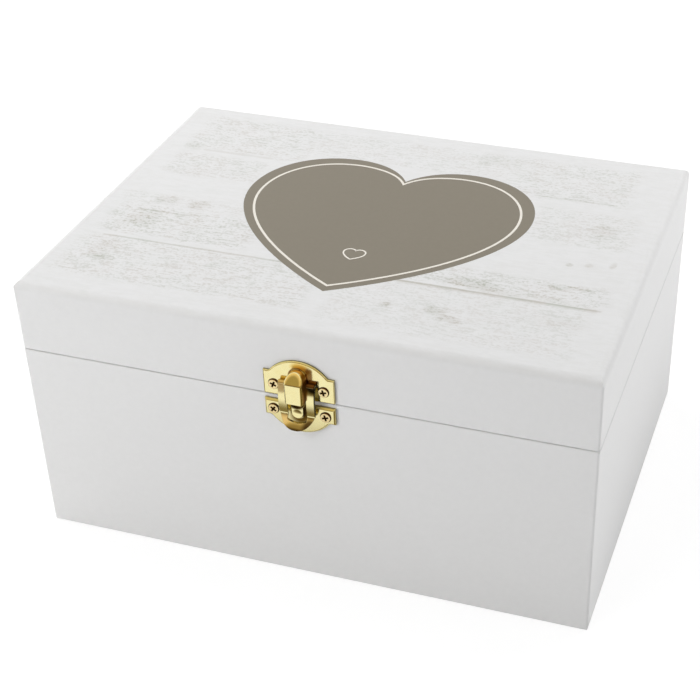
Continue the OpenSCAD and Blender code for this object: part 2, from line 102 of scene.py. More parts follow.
def softSpot(tree, place, spot):
    # 1 at the middle of an ellipse (x, y, half length, half width), falling to 0 at its edge
    x, y, halfLong, halfWide = spot
    fromMiddle = addNode(tree, "ShaderNodeVectorMath", {0: place, 1: (x, y, 0)}, operation="SUBTRACT")
    scaled = addNode(tree, "ShaderNodeVectorMath", {0: fromMiddle, 1: (1 / halfLong, 1 / halfWide, 0)},
                     operation="MULTIPLY")
    away = addNode(tree, "ShaderNodeVectorMath", {0: scaled}, operation="LENGTH")
    return softMask(tree, (away, 1.0, spotCore))


def layColours(tree, tone, *layers):
    # lays each layer (mask, colour) over the tone; a colour is a hex text, linear values or a node
    for mask, colour in layers:
        below, above = (linearColour(c) if isinstance(c, str) else c for c in (tone, colour))
        tone = addNode(tree, "ShaderNodeMix", {0: mask, 6: below, 7: above}, data_type="RGBA")
    return tone


def rampPoints(ramp, points):
    # points as (place from 0 to 1, colour as linear red, green and blue), lowest first; the
    # colours are set when all the places are, since a moved element can change its rank
    elements = ramp.color_ramp.elements
    while len(elements) < len(points):
        elements.new(0.5)
    for element, (place, colour) in zip(elements, points):
        element.position = place
    for element, (place, colour) in zip(elements, points):
        element.color = (*colour, 1)


def newMaterial(name):
    material = bpy.data.materials.new(name)
    material.use_nodes = True
    material.node_tree.nodes.clear()
    return material, material.node_tree


def finishMaterial(tree, shader):
    addNode(tree, "ShaderNodeOutputMaterial", {"Surface": shader})


def meshObject(name, vertices, faces):
    # vertices as an (n, 3) array in metres, faces as a list of arrays of vertex numbers
    mesh = bpy.data.meshes.new(name)
    mesh.from_pydata(vertices.tolist(), [], [corner for block in faces for corner in block.tolist()])
    mesh.update()
    piece = bpy.data.objects.new(name, mesh)
    bpy.context.scene.collection.objects.link(piece)
    return piece


# Camera
cameraFacts = {
    "place": (0.242938, -0.654887, 0.524095),   # metres
    "right": (0.95093, 0.30922, -0.010718),
    "up": (-0.168413, 0.546351, 0.82045),
    "focalPixels": 1547.9,
    "centrePixels": (418.5, 395.6),             # where the picture's optical axis meets it
    "framePixels": 700,
    "sensor": 36,                               # mm
    "nearest": 0.01,                            # metres
}


def makeCamera(facts):
    data = bpy.data.cameras.new("photoCamera")
    size = facts["framePixels"]
    data.sensor_width = facts["sensor"]
    data.lens = data.sensor_width * facts["focalPixels"] / size
    data.shift_x = 0.5 - facts["centrePixels"][0] / size
    data.shift_y = facts["centrePixels"][1] / size - 0.5
    data.clip_start = facts["nearest"]
    right, up = Vector(facts["right"]), Vector(facts["up"])
    turn = Matrix((right, up, right.cross(up))).transposed()
    camera = bpy.data.objects.new("photoCamera", data)
    camera.matrix_world = Matrix.Translation(facts["place"]) @ turn.to_4x4()
    bpy.context.scene.collection.objects.link(camera)
    bpy.context.scene.camera = camera
    print("camera: lens", round(data.lens, 1), "mm")


makeCamera(cameraFacts)


# Studio: world, lamps and floor. What metal sees of them was fitted to the photo.
studio = {
    "fill": 0.25,             # the world's strength on the box
    "background": 1.0,        # the world as the camera sees it
    # what metal sees towards the front, by height above the horizon from 0 to 1: the dark room
    # behind the camera, the warm ceiling and the white soft box overhead
    "room": (
        (0.00, (0.20, 0.14, 0.05)),
        (0.20, (0.24, 0.16, 0.06)),
        (0.38, (0.46, 0.32, 0.15)),
        (0.50, (0.78, 0.58, 0.31)),
        (0.80, (0.92, 0.69, 0.37)),
        (0.88, (0.93, 0.78, 0.50)),
        (0.95, (1.00, 0.96, 0.88)),
    ),
    # what metal sees to the sides and behind the box: the direction's axis, where the glow
    # begins and where it is whole, colour
    "glows": (
        ("X", 0.45, 0.60, (0.72, 0.62, 0.48)),     # a soft box far to the right
        ("X", -0.50, -0.66, (1.00, 0.92, 0.76)),   # one to the left
        ("Y", -0.05, 0.20, (0.90, 0.90, 0.90)),    # the white backdrop
    ),
    # what metal sees of the floor, by metres from tableStart towards the front: white under the
    # box, dull close in front of it as a painted shadow of the box, white where the lamps reach
    # it, dark past the table
    "tableStart": -0.007,
    "table": (
        (0.09, (0.97, 0.97, 0.97)),
        (0.11, (0.21, 0.165, 0.075)),
        (0.19, (0.22, 0.175, 0.08)),
        (0.235, (0.97, 0.97, 0.97)),
        (0.48, (0.97, 0.97, 0.97)),
        (0.62, (0.20, 0.14, 0.05)),
    ),
    "lamps": {
        # name: place, width in metres, watts; each is square and faces lampAim
        "frontLeftHigh": ((-0.60, -1.20, 1.20), 0.80, 7.42),
        "leftLow": ((-0.80, -0.90, 0.15), 0.25, 3.36),
        "rightFar": ((1.30, 0.00, 0.50), 0.70, 4.11),
        "rightClose": ((0.60, 0.50, 0.50), 0.40, 1.86),
        "topLeftBack": ((-0.60, 0.40, 1.20), 0.80, 9.25),
    },
    "lampAim": (0.0, 0.0, 0.06),
    "floorSize": 12.0,        # metres
    "floorDrop": 0.0003,      # the floor lies this far below the box
    "floorTone": "#F2F2F2",
    "floorWhite": 1.17,       # strength of the white that the camera sees on the floor
    # a grey card on the floor beside the box, out of the camera's sight: middle and half
    # sizes in metres
    "card": (0.175, 0.02, 0.060, 0.19),
    "cardTone": "#9E9E9E",
    "shadowShare": 0.30,      # how much of the floor's own shade the camera sees
    "shadowReach": (1.0, 0.5),   # metres from the box where that shade ends, and where it is whole
}


def makeWorld(facts):
    world = bpy.data.worlds.new("studioWorld")
    bpy.context.scene.world = world
    world.use_nodes = True
    tree = world.node_tree
    tree.nodes.clear()
    ray = addNode(tree, "ShaderNodeLightPath").outputs
    where = addNode(tree, "ShaderNodeTexCoord").outputs["Generated"]
    axes = addNode(tree, "ShaderNodeSeparateXYZ", {0: where}).outputs
    room = addNode(tree, "ShaderNodeValToRGB", {0: axes["Z"]})
    rampPoints(room, facts["room"])
    metal = layColours(tree, room, *((softMask(tree, (axes[axis], low, high)), (*colour, 1))
                                     for axis, low, high, colour in facts["glows"]))
    fill, white = ((level, level, level, 1) for level in (facts["fill"], facts["background"]))
    seen = combine(tree, "MAXIMUM", [ray["Is Camera Ray"], ray["Is Transmission Ray"]])
    colour = layColours(tree, fill, (ray["Is Glossy Ray"], metal), (seen, white))
    light = addNode(tree, "ShaderNodeBackground", {"Color": colour, "Strength": 1.0})
    addNode(tree, "ShaderNodeOutputWorld", {"Surface": light})


def makeLamps(facts):
    # metal sees the world's and the floor's own light instead of the lamps
    for name, (place, width, watts) in facts["lamps"].items():
        data = bpy.data.lights.new(name, "AREA")
        data.shape = "SQUARE"
        data.size = width
        data.energy = watts
        lamp = bpy.data.objects.new(name, data)
        away = Vector(place) - Vector(facts["lampAim"])
        lamp.matrix_world = Matrix.Translation(place) @ away.to_track_quat("Z", "Y").to_matrix().to_4x4()
        lamp.visible_glossy = False
        lamp.visible_camera = False
        bpy.context.scene.collection.objects.link(lamp)


def makeFloor(facts):
    # the camera sees white with a share of the floor's own shade, metal sees the table's ramp,
    # and the light that falls on the box comes off the plain floor and the card
    half = facts["floorSize"] / 2
    z = -facts["floorDrop"]
    corners = np.array([(-half, -half, z), (half, -half, z), (half, half, z), (-half, half, z)])
    floor = meshObject("studioFloor", corners, [np.array([[0, 1, 2, 3]])])
    material, tree = newMaterial("paleStudioFloor")
    ray = addNode(tree, "ShaderNodeLightPath").outputs
    where = addNode(tree, "ShaderNodeTexCoord").outputs["Object"]
    axes = addNode(tree, "ShaderNodeSeparateXYZ", {0: where}).outputs
    ahead = addNode(tree, "ShaderNodeMath", {0: facts["tableStart"], 1: axes["Y"]}, operation="SUBTRACT")
    table = addNode(tree, "ShaderNodeValToRGB", {0: ahead})
    rampPoints(table, facts["table"])
    white = addNode(tree, "ShaderNodeEmission", {"Color": (1, 1, 1, 1), "Strength": facts["floorWhite"]})
    mirrored = addNode(tree, "ShaderNodeEmission", {"Color": table, "Strength": 1.0})
    card = softSpot(tree, where, facts["card"])
    tone = layColours(tree, facts["floorTone"], (card, facts["cardTone"]))
    plain = addNode(tree, "ShaderNodeBsdfDiffuse", {"Color": linearColour(facts["floorTone"])})
    carded = addNode(tree, "ShaderNodeBsdfDiffuse", {"Color": tone})
    away = addNode(tree, "ShaderNodeVectorMath", {0: where}, operation="LENGTH")
    share = softMask(tree, (away, *facts["shadowReach"]), facts["shadowShare"])
    seen = addNode(tree, "ShaderNodeMixShader", {0: share, 1: white, 2: plain})
    lit = addNode(tree, "ShaderNodeMixShader", {0: ray["Is Camera Ray"], 1: carded, 2: seen})
    shader = addNode(tree, "ShaderNodeMixShader", {0: ray["Is Glossy Ray"], 1: lit, 2: mirrored})
    finishMaterial(tree, shader)
    floor.data.materials.append(material)


makeWorld(studio)
makeLamps(studio)
makeFloor(studio)
bpy.context.scene.view_settings.view_transform = "Standard"
print("studio: world,", len(studio["lamps"]), "lamps and the floor")


# Satin white paint on fibreboard, sprayed, so almost smooth with a faint orange peel
paint = {
    "light": "#EAEAEA",
    "dark": "#E5E5E5",
    "mottle": 3.0,        # mm across a patch of slightly thinner paint
    "peel": 0.9,          # mm between the bumps of the sprayed surface
    "peelHeight": 0.006,  # mm
    "wave": 11.0,         # mm between the board's own soft waves
    "waveHeight": 0.03,   # mm
    "roughness": 0.48,
    "ior": 1.5,           # of a clear varnish, also over the printed inks
    # a grey band along the seam at the box's sides stands for the soft shade in the photo there
    "seam": (1.7, 0.5),   # mm from the seam where the band ends, and where it is whole
    "seamSide": (144.2, 144.7),   # mm from the middle: only the box's own sides have it
    "seamShade": 0.15,
    "seamTone": "#5A5A58",
}


def paintSurface(tree, where):
    # colour and bump shared by the plain paint and the printed lid
    mottle = addNode(tree, "ShaderNodeTexNoise", {"Vector": where, "Scale": 1 / (paint["mottle"] * mm),
                                                  "Detail": 3.0, "Roughness": 0.6})
    tone = layColours(tree, paint["dark"], (mottle, paint["light"]))
    wave = addNode(tree, "ShaderNodeTexNoise", {"Vector": where, "Scale": 1 / (paint["wave"] * mm),
                                                "Detail": 1.0})
    peel = addNode(tree, "ShaderNodeTexNoise", {"Vector": where, "Scale": 1 / (paint["peel"] * mm)})
    low = addNode(tree, "ShaderNodeBump", {"Height": wave, "Distance": paint["waveHeight"] * mm})
    bump = addNode(tree, "ShaderNodeBump", {"Height": peel, "Distance": paint["peelHeight"] * mm,
                                            "Normal": low})
    return tone, bump


def finishCoat(tree, tone, bump, roughness):
    # a paint or an ink with its clear satin surface
    shader = addNode(tree, "ShaderNodeBsdfPrincipled", {"Base Color": tone, "Normal": bump,
                                                        "Roughness": roughness, "IOR": paint["ior"]})
    finishMaterial(tree, shader)


def satinPaint():
    material, tree = newMaterial("satinWhitePaint")
    where = addNode(tree, "ShaderNodeTexCoord").outputs["Object"]
    tone, bump = paintSurface(tree, where)
    axes = addNode(tree, "ShaderNodeSeparateXYZ", {0: where}).outputs
    above = addNode(tree, "ShaderNodeMath", {0: axes["Z"], 1: catchPlace[2] * mm}, operation="SUBTRACT")
    height = addNode(tree, "ShaderNodeMath", {0: above}, operation="ABSOLUTE")
    side = addNode(tree, "ShaderNodeMath", {0: axes["X"]}, operation="ABSOLUTE")
    shade = softMask(tree, (height, *(value * mm for value in paint["seam"])),
                     (side, *(value * mm for value in paint["seamSide"])), paint["seamShade"])
    finishCoat(tree, layColours(tree, tone, (shade, paint["seamTone"])), bump, paint["roughness"])
    return material


# The lid's print: whitewashed planks, faint, under the same satin varnish
planks = {
    "inks": ("#84886C", "#968A72"),   # olive and tan, in drifts
    "drift": 16.0,              # mm across a drift
    "driftEdge": (0.40, 0.60),  # the noise at which olive ends, and at which tan is whole
    "wobble": (12.0, 8.4),      # mm, across and along, over which the print's edges wander
    "wobbleSize": 9.0,          # mm between those wanderings
    "lineWobble": (0.5, 0.08),  # the lines' and the small patches' share of that
    "streak": (7.0, 1.2),       # mm, length and width of a streak of grain
    "speck": (1.6, 1.3),        # mm, length and width of a speck in the grain
    "grainEdge": (0.92, 1.24),  # the streaks' and specks' sum at which grain begins, and is whole
    "grainShare": 0.62,         # darkness of the grain
    "fieldShare": 0.52,         # and how much of it the fields show
    "fieldEdge": 5.0,           # mm, softness of a field's edge
    "blotch": (11.0, 3.0),      # mm, length and width of the softer blotches over the whole print
    "blotchEdge": (0.36, 0.66),
    "blotchShare": 0.055,
    "lineEdge": 0.9,            # mm, softness of a line's edge
    "lineEnd": 6.0,             # mm by which a line's ends are drawn in
    "patchBreak": (0.55, 1.1),  # a patch's darkness: the first share, plus the second times the grain
    "smallPatch": 5.0,          # mm: patches up to this half length wobble as little as the lines
    "faceUp": (0.4, 0.8),       # only the panel's upper face is printed
    # printed fields, where the grain shows: left, right, front and back in mm, strength
    "fields": (
        (-128, -58, 54, 93, 0.80),
        (-66, 60, 64, 93, 0.55),
        (58, 122, 51, 93, 0.78),
        (-128, -74, 22, 47, 0.75),
        (79, 131, 6, 42, 0.65),
        (-134, -62, -15, -3, 0.55),
        (-131, -50, -46, -16, 1.00),
        (-133, -6, -90, -51, 0.80),
        (28, 131, -49, -31, 0.90),
        (6, 126, -95, -51, 0.50),
    ),
    # lines between the planks: left and right end, y and width in mm, darkness
    "lines": (
        (-131, 137, -50.9, 1.3, 0.28),
        (25, 135, -51.4, 2.8, 0.17),
        (-127, -84, -20.8, 1.0, 0.26),
        (66, 122, 53.0, 1.4, 0.16),
        (-122, -70, 52.5, 2.0, 0.12),
    ),
    # worn patches: x, y, half length and half width in mm, darkness
    "patches": (
        (-109, -8.5, 9, 6, 0.22),
        (-93, -9.5, 7, 7, 0.28),
        (-113, -30, 12, 12, 0.20),
        (-116, -71, 12, 4, 0.20),
        (-123, 55, 8, 7, 0.16),
        (-118, -62, 12, 10, 0.10),
        (66, -43.5, 22, 6, 0.24),
        (112, -34, 17, 3, 0.24),
        (88, -47, 42, 3, 0.13),
        (116, 24, 10, 9, 0.16),
        (44, 85, 18, 9, 0.10),
        (57, -72.5, 8, 5, 0.32),
        (66, -77.5, 7, 5, 0.30),
        (34, -73.5, 4, 3.2, 0.27),
        (106, -13, 2.6, 2.2, 0.36),
        (116, -11, 2.6, 2.8, 0.26),
        (127.5, -8, 2.6, 4.4, 0.28),
        (112, -66, 26, 9, 0.08),
    ),
}


def softBox(axes, box, edge):
    # the parts of a mask that is 1 inside the box (left, right, front, back) and soft at its edges
    left, right, front, back = box
    return ((axes["X"], left - edge, left + edge), (axes["X"], right + edge, right - edge),
            (axes["Y"], front - edge / 2, front + edge / 2), (axes["Y"], back + edge / 2, back - edge / 2))


def grainNoise(tree, place, size, detail=3.0, roughness=0.65):
    # noise on places in mm whose specks are size (length, width) mm
    length, width = size
    squeezed = addNode(tree, "ShaderNodeVectorMath", {0: place, 1: (width / length, 1, 1)},
                       operation="MULTIPLY")
    return addNode(tree, "ShaderNodeTexNoise", {"Vector": squeezed, "Scale": 1 / width,
                                                "Detail": detail, "Roughness": roughness})


def printedPlanks():
    # the ink's share at a point is the grain inside the fields, plus the blotches, the lines and
    # the patches, with their places shifted by noise
    material, tree = newMaterial("whitewashedPlankPrint")
    facts = planks
    source = addNode(tree, "ShaderNodeTexCoord").outputs
    where = source["Object"]
    place = addNode(tree, "ShaderNodeVectorMath", {0: where, "Scale": 1 / mm}, operation="SCALE")
    noise = addNode(tree, "ShaderNodeTexNoise", {"Vector": place, "Scale": 1 / facts["wobbleSize"],
                                                 "Detail": 3.0})
    even = addNode(tree, "ShaderNodeVectorMath", {0: noise.outputs["Color"], 1: (0.5, 0.5, 0.5)},
                   operation="SUBTRACT")
    shove = addNode(tree, "ShaderNodeVectorMath", {0: even, 1: (*facts["wobble"], 0)}, operation="MULTIPLY")
    nudge = addNode(tree, "ShaderNodeVectorMath", {0: shove, 1: (*facts["lineWobble"], 0)},
                    operation="MULTIPLY")
    moved, slight = (addNode(tree, "ShaderNodeVectorMath", {0: place, 1: shift}, operation="ADD")
                     for shift in (shove, nudge))
    axes, straight = (addNode(tree, "ShaderNodeSeparateXYZ", {0: at}).outputs for at in (moved, slight))
    streak = grainNoise(tree, place, facts["streak"])
    speck = grainNoise(tree, place, facts["speck"], detail=2.0)
    grain = softMask(tree, (combine(tree, "ADD", [streak, speck]), *facts["grainEdge"]), facts["grainShare"])
    blotch = grainNoise(tree, place, facts["blotch"], detail=4.0, roughness=0.75)
    least, more = facts["patchBreak"]
    broken = addNode(tree, "ShaderNodeMath", {0: grain, 1: more, 2: least}, operation="MULTIPLY_ADD")
    fields = combine(tree, "MAXIMUM", [softMask(tree, *softBox(axes, box, facts["fieldEdge"]), strength)
                                       for *box, strength in facts["fields"]])
    marks = [softMask(tree, fields, grain, facts["fieldShare"]),
             softMask(tree, (blotch, *facts["blotchEdge"]), facts["blotchShare"])]
    for left, right, level, wide, dark in facts["lines"]:
        band = (left + facts["lineEnd"], right - facts["lineEnd"], level - wide / 2, level + wide / 2)
        marks.append(softMask(tree, *softBox(straight, band, facts["lineEdge"]), dark))
    for *spot, dark in facts["patches"]:
        at = moved if spot[2] > facts["smallPatch"] else slight
        marks.append(softMask(tree, softSpot(tree, at, spot), broken, dark))
    normal = addNode(tree, "ShaderNodeSeparateXYZ", {0: source["Normal"]}).outputs
    share = softMask(tree, combine(tree, "ADD", marks), (normal["Z"], *facts["faceUp"]))
    drift = addNode(tree, "ShaderNodeTexNoise", {"Vector": where, "Scale": 1 / (facts["drift"] * mm)})
    olive, tan = facts["inks"]
    inkTone = layColours(tree, olive, (softMask(tree, (drift, *facts["driftEdge"])), tan))
    tone, bump = paintSurface(tree, where)
    finishCoat(tree, layColours(tree, tone, (share, inkTone)), bump, paint["roughness"])
    return material


satinWhite = satinPaint()
plankPrint = printedPlanks()
print("paint:", satinWhite.name, "and", plankPrint.name)


# The printed heart: a plain grey-brown heart with a cream line inside it and a small outline
# heart below its middle, printed as thin films on the lid
heart = {
    "axis": (4.18, 0.01756),   # mm right of the middle at the lid's back edge, and its lean per mm
    # the right half as three cubic curves, in mm from the axis and from the lid's back edge
    "curves": (
        ((0, 59.59), (6.91, 48.20), (19.22, 42.18), (32.39, 42.18)),
        ((32.39, 42.18), (57.80, 42.18), (76.63, 60.71), (76.63, 86.58)),
        ((76.63, 86.58), (76.63, 117.63), (45.81, 151.10), (0, 178.06)),
    ),
    "middle": 115.0,       # mm from the back edge to the point that the line is scaled about
    "lineScale": 0.915,
    "notch": (0.026, 14.0),   # the line is scaled less by this share at the notch, over this width in mm
    "lineWidth": 1.3,      # mm
    "smallPlace": (3.0, 140.9),   # mm, the small heart's middle
    "smallSize": 11.2,     # mm across
    "smallLine": 0.8,      # mm
    "film": 0.05,          # mm of ink
    "colour": "#817A6C",
    "line": "#EFEAE0",
    "steps": 24,           # points on each curve
    "rings": 6,            # rings of faces from the middle to the outline
    "mitre": 0.15,         # keeps the line's points from running away at the heart's sharp corners
}


def heartOutline(facts):
    # each curve is p0 (1-t)^3 + 3 p1 t (1-t)^2 + 3 p2 t^2 (1-t) + p3 t^3, and the left half
    # mirrors the right
    t = np.linspace(0, 1, facts["steps"], endpoint=False)[:, None]
    curves = np.array(facts["curves"])
    half = [(1 - t) ** 3 * p[0] + 3 * t * (1 - t) ** 2 * p[1] + 3 * t ** 2 * (1 - t) * p[2] + t ** 3 * p[3]
            for p in curves]
    right = np.concatenate(half + [curves[-1][3:]])
    return np.concatenate([right, (right * (-1, 1))[-2:0:-1]])


def offsetOutline(outline, distance, facts):
    # moves every point along the mean of its two edges' normals n1 and n2, by
    # (n1 + n2) / (1 + n1.n2) times distance
    edges = np.roll(outline, -1, axis=0) - outline
    normals = np.stack([edges[:, 1], -edges[:, 0]], axis=1) / np.linalg.norm(edges, axis=1)[:, None]
    before = np.roll(normals, 1, axis=0)
    spread = np.maximum(1 + (normals * before).sum(axis=1), facts["mitre"])[:, None]
    return outline + distance * (normals + before) / spread


def onLid(points, facts):
    # mm from the heart's axis and the back edge, to metres on the lid; the axis leans a little
    shift, lean = facts["axis"]
    return np.stack([(points[:, 0] + shift - lean * points[:, 1]) * mm, lidBack - points[:, 1] * mm], axis=1)


def closedPiece(name, vertices, faces):
    # builds the mesh and turns all its faces outwards
    piece = meshObject(name, vertices, faces)
    work = bmesh.new()
    work.from_mesh(piece.data)
    bmesh.ops.recalc_face_normals(work, faces=work.faces)
    work.to_mesh(piece.data)
    work.free()
    return piece


def filmRing(name, outline, width, facts):
    # a closed band along the outline: four loops of points round it, outer below, outer above,
    # inner above and inner below, twice as high as the heart's own film
    outer, inner = (offsetOutline(outline, side * width / 2, facts) for side in (1, -1))
    count = len(outer)
    high = 2 * facts["film"]
    levels = ((outer, 0), (outer, high), (inner, high), (inner, 0))
    vertices = np.concatenate([np.c_[onLid(loop, facts), np.full(count, lidTop + level * mm)]
                               for loop, level in levels])
    here = np.arange(count)
    after = (here + 1) % count
    bands = [np.stack([here + a * count, after + a * count, after + b * count, here + b * count], axis=1)
             for a, b in ((0, 1), (1, 2), (2, 3), (3, 0))]
    return closedPiece(name, vertices, bands)


def filmSheet(name, outline, middle, facts):
    # a grid of rings from the middle out: middle + s (outline - middle) for s up to 1, above and below
    count, rings = len(outline), facts["rings"]
    steps = np.arange(1, rings + 1) / rings
    grid = np.concatenate([onLid(middle + s * (outline - middle), facts) for s in steps])
    flat = np.concatenate([onLid(middle[None, :], facts), grid])
    vertices = np.concatenate([np.c_[flat, np.full(len(flat), lidTop + level * mm)]
                               for level in (facts["film"], 0)])
    here = np.arange(count)
    after = (here + 1) % count
    faces = []
    for base in (0, len(flat)):
        faces.append(np.stack([np.full(count, base), base + 1 + here, base + 1 + after], axis=1))
        ring = np.stack([here, after, after + count, here + count], axis=1)
        faces.append(np.concatenate([ring + base + 1 + k * count for k in range(rings - 1)]))
    rim = 1 + (rings - 1) * count
    faces.append(np.stack([here, after, after + len(flat), here + len(flat)], axis=1) + rim)
    return closedPiece(name, vertices, faces)


# Screen-printed ink, matt and even, with the board's satin varnish over it
screenInk = {
    "mottle": 2.2,       # mm across a patch of slightly thinner ink
    "mottleShare": 0.05,
    "dots": 0.5,         # mm between the print's dots, drawn coarse enough to show
    "dotHeight": 0.003,  # mm
    "roughness": 0.50,
}


def printedInk(name, colour):
    material, tree = newMaterial(name)
    where = addNode(tree, "ShaderNodeTexCoord").outputs["Object"]
    even = np.array(linearColour(colour)[:3])
    share = screenInk["mottleShare"]
    thick, thin = ((*(even * (1 + change)), 1) for change in (-share, share))
    mottle = addNode(tree, "ShaderNodeTexNoise", {"Vector": where, "Scale": 1 / (screenInk["mottle"] * mm),
                                                  "Detail": 3.0, "Roughness": 0.6})
    dots = addNode(tree, "ShaderNodeTexNoise", {"Vector": where, "Scale": 1 / (screenInk["dots"] * mm)})
    bump = addNode(tree, "ShaderNodeBump", {"Height": dots, "Distance": screenInk["dotHeight"] * mm})
    finishCoat(tree, layColours(tree, thick, (mottle, thin)), bump, screenInk["roughness"])
    return material


def makeHeart(facts):
    outline = heartOutline(facts)
    middle = np.array([0, facts["middle"]])
    heartInk = printedInk("greyBrownScreenInk", facts["colour"])
    lineInk = printedInk("creamScreenInk", facts["line"])
    large = filmSheet("printedHeart", outline, middle, facts)
    # the line is the outline scaled about the middle by s + n exp(-(x / w)^2), n only at the notch
    share, width = facts["notch"]
    near = np.exp(-(outline[:, 0] / width) ** 2) * (outline[:, 1] < facts["middle"])
    lined = middle + (facts["lineScale"] + share * near)[:, None] * (outline - middle)
    line = filmRing("printedHeartLine", lined, facts["lineWidth"], facts)
    low, high = outline.min(axis=0), outline.max(axis=0)
    shift, lean = facts["axis"]
    place = np.array(facts["smallPlace"]) - (shift - lean * facts["smallPlace"][1], 0)
    small = (outline - (low + high) / 2) * facts["smallSize"] / (high[0] - low[0]) + place
    little = filmRing("printedSmallHeart", small, facts["smallLine"], facts)
    for piece, material in ((large, heartInk), (line, lineInk), (little, lineInk)):
        piece.data.materials.append(material)
        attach(piece, "lid")
    print("print: three films,", sum(len(p.data.polygons) for p in (large, line, little)), "faces")


makeHeart(heart)


# Brass plating on zinc castings, polished, so it mirrors the studio. The plates' and the hasp's
# materials also carry brown, dark and light areas. They stand for what the catch mirrors in the
# photo, and were fitted to it, so they stay where they are in any other light.
# Those areas are painted reflections, painted highlights and painted shade
brass = {
    "colour": "#F9F1BC",
    "deep": "#F4E6A6",
    "cloud": 4.0,          # mm across a patch of slightly deeper plating
    "roughness": 0.13,
    "mattRoughness": 0.42,   # of the areas that are marked as matt
    "ripple": 1.6,         # mm between the soft ripples left by polishing
    "rippleHeight": 0.004,  # mm
}


def platedBrass(name, facts, paintedLight=None):
    # paintedLight(tree, source) gives the painted reflections, highlights and shade that lie over the
    # plating, as (mask, colour, matt)
    material, tree = newMaterial(name)
    source = addNode(tree, "ShaderNodeTexCoord").outputs
    cloud = addNode(tree, "ShaderNodeTexNoise", {"Vector": source["Object"],
                                                 "Scale": 1 / (facts["cloud"] * mm)})
    ripple = addNode(tree, "ShaderNodeTexNoise", {"Vector": source["Object"], "Detail": 1.0,
                                                  "Scale": 1 / (facts["ripple"] * mm)})
    bump = addNode(tree, "ShaderNodeBump", {"Height": ripple, "Distance": facts["rippleHeight"] * mm})
    areas = paintedLight(tree, source) if paintedLight else []
    tone = layColours(tree, facts["colour"], (cloud, facts["deep"]),
                      *((mask, colour) for mask, colour, matt in areas))
    roughness = facts["roughness"]
    dull = [mask for mask, colour, matt in areas if matt]
    if dull:
        roughness = addNode(tree, "ShaderNodeMapRange", {0: combine(tree, "MAXIMUM", dull), 3: roughness,
                                                         4: facts["mattRoughness"]})
    shader = addNode(tree, "ShaderNodeBsdfPrincipled", {"Base Color": tone, "Metallic": 1.0,
                                                        "Normal": bump, "Roughness": roughness})
    finishMaterial(tree, shader)
    return material


def onCatch(tree, where):
    # mm across, mm above the seam and mm out of the front, as one vector
    scaled = addNode(tree, "ShaderNodeVectorMath", {0: where, "Scale": 1 / mm}, operation="SCALE")
    place = addNode(tree, "ShaderNodeVectorMath", {0: scaled, 1: catchPlace}, operation="SUBTRACT")
    axes = addNode(tree, "ShaderNodeSeparateXYZ", {0: place}).outputs
    out = addNode(tree, "ShaderNodeMath", {0: axes["Y"], 1: -1.0}, operation="MULTIPLY")
    return addNode(tree, "ShaderNodeCombineXYZ", {0: axes["X"], 1: axes["Z"], 2: out})


def squareTo(tree, source, axis):
    # how squarely a face looks along the axis, either way, from 0 to 1
    normal = addNode(tree, "ShaderNodeSeparateXYZ", {0: source["Normal"]}).outputs
    return addNode(tree, "ShaderNodeMath", {0: normal[axis]}, operation="ABSOLUTE")


platePaintedLight = {
    "rim": "#2A261E",         # painted dark reflection on the plates' own thin walls
    "lidRimTop": "#5E563E",   # painted reflections on those that face up, the lid's and the base's
    "baseRimTop": "#A89C78",
    "hoodWall": "#865A08",    # painted dark reflection on the hood's walls that face sideways or down
    "hoodTop": "#E6C674",     # and a painted highlight on those that face up
    "bevel": "#DCD490",       # painted reflection on the plates' bevels that face up
    "facet": "#ABA268",       # painted reflection in the middle of the hood's slope
    "corner": "#C0A85C",      # painted reflection on the hood's right front corner
    "crease": "#7E4602",      # painted shade on the plate, close round the hood
    "glow": "#F4CA54",        # painted warm reflection on the plate above the hood
    "under": "#7E6228",       # painted shade on the plate round the nose
    # painted dark reflection on the nose's walls
    "noseWall": "#4A300E",
    "noseTop": "#341C02",     # painted shade on the nose's top, in the hollow under the hood
    "crescent": "#A08A50",    # painted dark reflection on the upper edge of the nose's dish
    # where glow, under, noseTop and crescent lie, in this order: (mm across, mm above the seam,
    # half sizes in mm), strength
    "spots": (
        ((1.0, 18.6, 6.2, 3.2), 0.85),
        ((0.5, -8.5, 7.0, 7.0), 1.00),
        ((-0.4, -1.6, 4.6, 1.9), 0.90),
        ((0.3, -4.4, 3.0, 1.4), 0.85),
    ),
    # each edge is where a mask is 0 and where it is 1
    "plateOut": (2.7, 2.1),   # mm out of the front: what stands higher is the hood and the nose
    "lidUp": (0.0, 1.0),      # mm above the seam, where the lid's plate begins
    "wallNormal": (0.35, 0.05),     # how squarely a wall looks to the front
    "upNormal": (0.45, 0.60),       # how much a face looks up
    "slopeNormal": (0.92, 0.82),    # what looks up more than this is level, not a slope
    "topNormal": (0.65, 0.95),      # of the hood's walls that face up
    "cornerNormal": (0.20, 0.45),   # how much a face looks right
    "sideNormal": (0.40, 0.75),     # how squarely the nose's walls look sideways
    "hood": (4.5, 13.1),            # mm, the hood's half width and the middle of its round top
    "facetReach": (-0.3, -1.7),     # mm outside the hood's outline, or inside it where negative
    "creaseReach": (0.8, 0.15),
    "creaseUp": (1.5, 3.0),         # mm above the seam
    "rimReach": (0.8, 1.5),
}


